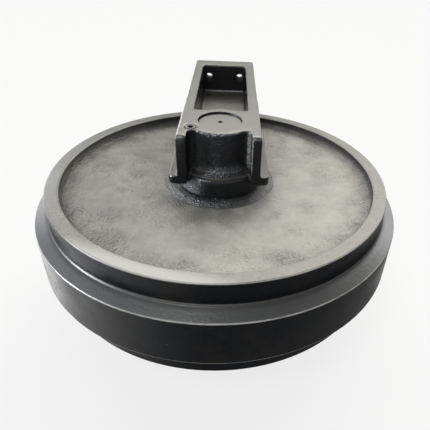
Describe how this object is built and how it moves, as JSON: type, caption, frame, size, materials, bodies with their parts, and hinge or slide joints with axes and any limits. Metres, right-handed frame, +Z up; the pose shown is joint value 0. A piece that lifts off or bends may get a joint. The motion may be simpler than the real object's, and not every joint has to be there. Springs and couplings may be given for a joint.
{
  "type": "excavator front idler",
  "caption": "Flanged guide wheel on a fixed shaft between two pocketed slide brackets; it turns on sealed bushes and guides the front of a crawler track.",
  "frame": {"origin": "middle of the wheel, on the axle", "axes": "+Z up along the axle towards the upper bracket, +Y from the axle to the yoke ends of the brackets"},
  "size_m": [0.56, 0.601, 0.325],
  "materials": {
    "wheel_paint": "semi-gloss black enamel on machined and cast steel",
    "cast_paint": "gloss black enamel on rough cast steel",
    "shaft_steel": "ground steel, painted over at its ends",
    "bush_bronze": "turned bronze",
    "seal_iron": "lapped hard iron",
    "seal_rubber": "nitrile rubber",
    "pin_steel": "blackened steel",
    "washer_copper": "soft copper"
  },
  "bodies": {
    "support": {"shaft": "shaft_steel", "upper_bracket": "cast_paint", "lower_bracket": "cast_paint", "upper_static_seal_ring": "seal_iron", "lower_static_seal_ring": "seal_iron", "upper_static_toric": "seal_rubber", "lower_static_toric": "seal_rubber", "upper_shaft_oring": "seal_rubber", "lower_shaft_oring": "seal_rubber", "upper_lock_pin": "pin_steel", "lower_lock_pin": "pin_steel", "upper_oil_plug": "pin_steel", "lower_oil_plug": "pin_steel", "upper_plug_washer": "washer_copper", "lower_plug_washer": "washer_copper"},
    "wheel": {"upper_wheel_half": "wheel_paint", "lower_wheel_half": "wheel_paint", "rim_weld": "wheel_paint", "hub": "wheel_paint", "upper_hub_weld": "cast_paint", "lower_hub_weld": "cast_paint", "upper_bush": "bush_bronze", "lower_bush": "bush_bronze", "upper_rotating_seal_ring": "seal_iron", "lower_rotating_seal_ring": "seal_iron", "upper_rotating_toric": "seal_rubber", "lower_rotating_toric": "seal_rubber"}
  },
  "joints": [
    {"name": "wheel_spin", "type": "hinge", "parent": "support", "child": "wheel", "pos_m": [0, 0, 0], "axis": [0, 0, 1], "continuous": true}
  ]
}
